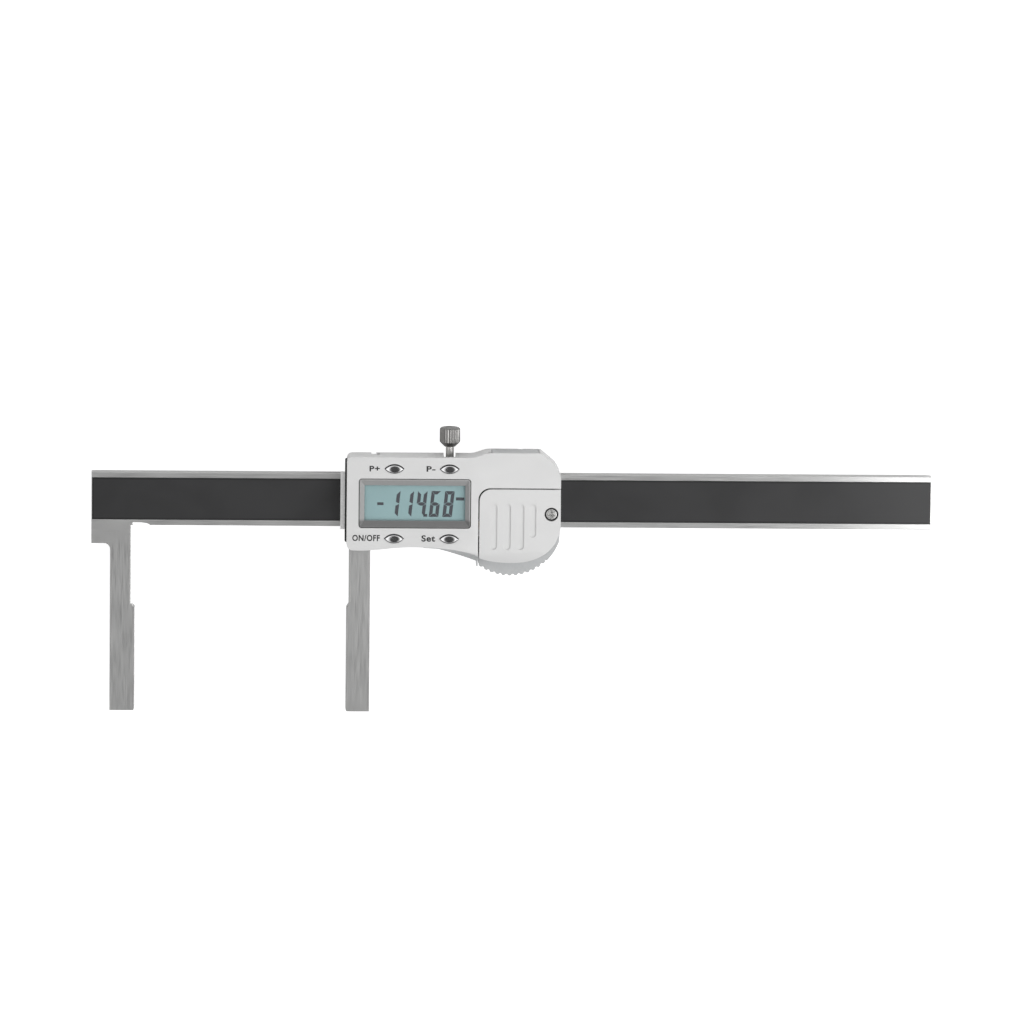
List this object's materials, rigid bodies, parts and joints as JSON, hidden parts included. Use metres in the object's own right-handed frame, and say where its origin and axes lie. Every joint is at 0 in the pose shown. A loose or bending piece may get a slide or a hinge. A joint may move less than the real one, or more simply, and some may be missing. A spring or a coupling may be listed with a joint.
{
  "type": "digital caliper",
  "caption": "Digital caliper with a fixed and a sliding jaw, an LCD case with push buttons, a knurled lock screw and a battery door.",
  "frame": {"origin": "centre of the bounding box at its lowest face, which is the underside of the slider's rear plate", "axes": "+X along the beam away from the fixed jaw, +Y away from the jaw tips, +Z out of the display"},
  "size_m": [0.252, 0.0866, 0.0136],
  "materials": {
    "ground_steel": "fine ground stainless steel",
    "fastener_steel": "plated screw steel",
    "lock_steel": "knurled and plated",
    "silver_case": "fine silver satin",
    "thumb_silver": "silver satin, serrated",
    "button_chrome": "polished metallised plastic",
    "scale_film": "satin dark film",
    "circuit_board": "green solder mask",
    "brass": "rolled strip",
    "black_plastic": "moulded",
    "bezel_grey": "satin grey",
    "window_clear": "clear acrylic",
    "lcd_glass": "grey green liquid crystal glass",
    "cell_steel": "nickel plated can"
  },
  "bodies": {
    "beam": {"beam": "ground_steel", "scale_pcb": "circuit_board", "scale_film": "scale_film", "end_stop_plate": "ground_steel", "end_stop_screw_1": "fastener_steel", "end_stop_screw_2": "fastener_steel"},
    "slider": {"slider_frame": "ground_steel", "rear_plate": "ground_steel", "case_screw_1": "fastener_steel", "case_screw_2": "fastener_steel", "case_screw_3": "fastener_steel", "case_screw_4": "fastener_steel", "gib_strip": "brass", "gib_screw_left": "fastener_steel", "gib_screw_right": "fastener_steel", "dust_wiper_left": "silver_case", "dust_wiper_right": "silver_case", "thumb_rest": "thumb_silver", "front_cover": "silver_case", "lcd_bezel": "bezel_grey", "display_window": "window_clear", "lcd_panel": "lcd_glass", "zebra_strip_upper": "black_plastic", "zebra_strip_lower": "black_plastic", "main_pcb": "circuit_board", "sensor_board": "circuit_board", "controller_chip": "black_plastic", "battery_cell": "cell_steel", "battery_contact_negative": "brass", "battery_contact_positive": "brass", "data_port_socket": "black_plastic", "switch_plus": "black_plastic", "switch_minus": "black_plastic", "switch_on_off": "black_plastic", "switch_set": "black_plastic"},
    "button_plus": {"button_plus": "button_chrome"},
    "button_minus": {"button_minus": "button_chrome"},
    "button_on_off": {"button_on_off": "button_chrome"},
    "button_set": {"button_set": "button_chrome"},
    "lock_pad": {"lock_pad": "brass"},
    "lock_screw": {"lock_screw": "lock_steel"},
    "battery_door": {"battery_door": "silver_case", "battery_door_screw": "fastener_steel"},
    "data_port_cover": {"data_port_cover": "silver_case"}
  },
  "joints": [
    {"name": "slider_slide", "type": "slide", "parent": "beam", "child": "slider", "axis": [1, 0, 0], "range_m": [-0.06345, 0.0965]},
    {"name": "button_plus_press", "type": "slide", "parent": "slider", "child": "button_plus", "axis": [0, 0, -1], "range_m": [0, 0.0004], "stiffness_N_per_m": 700},
    {"name": "button_minus_press", "type": "slide", "parent": "slider", "child": "button_minus", "axis": [0, 0, -1], "range_m": [0, 0.0004], "stiffness_N_per_m": 700},
    {"name": "button_on_off_press", "type": "slide", "parent": "slider", "child": "button_on_off", "axis": [0, 0, -1], "range_m": [0, 0.0004], "stiffness_N_per_m": 700},
    {"name": "button_set_press", "type": "slide", "parent": "slider", "child": "button_set", "axis": [0, 0, -1], "range_m": [0, 0.0004], "stiffness_N_per_m": 700},
    {"name": "lock_pad_slide", "type": "slide", "parent": "slider", "child": "lock_pad", "axis": [0, -1, 0], "range_m": [-0.00025, 0.00025]},
    {"name": "lock_screw_turn", "type": "hinge", "parent": "lock_pad", "child": "lock_screw", "pos_m": [-0.0187, 0.038, 0.00335], "axis": [0, 1, 0], "range_deg": [-180.5, 180.5]},
    {"name": "battery_door_lift", "type": "slide", "parent": "slider", "child": "battery_door", "axis": [0, 0, 1], "range_m": [0, 0.012]},
    {"name": "data_port_cover_pull", "type": "slide", "parent": "slider", "child": "data_port_cover", "axis": [0, 1, 0], "range_m": [0, 0.008]}
  ],
  "couplings": [
    {"joint": "lock_screw_turn", "follows": "lock_pad_slide", "rad_per_m": -12566}
  ]
}
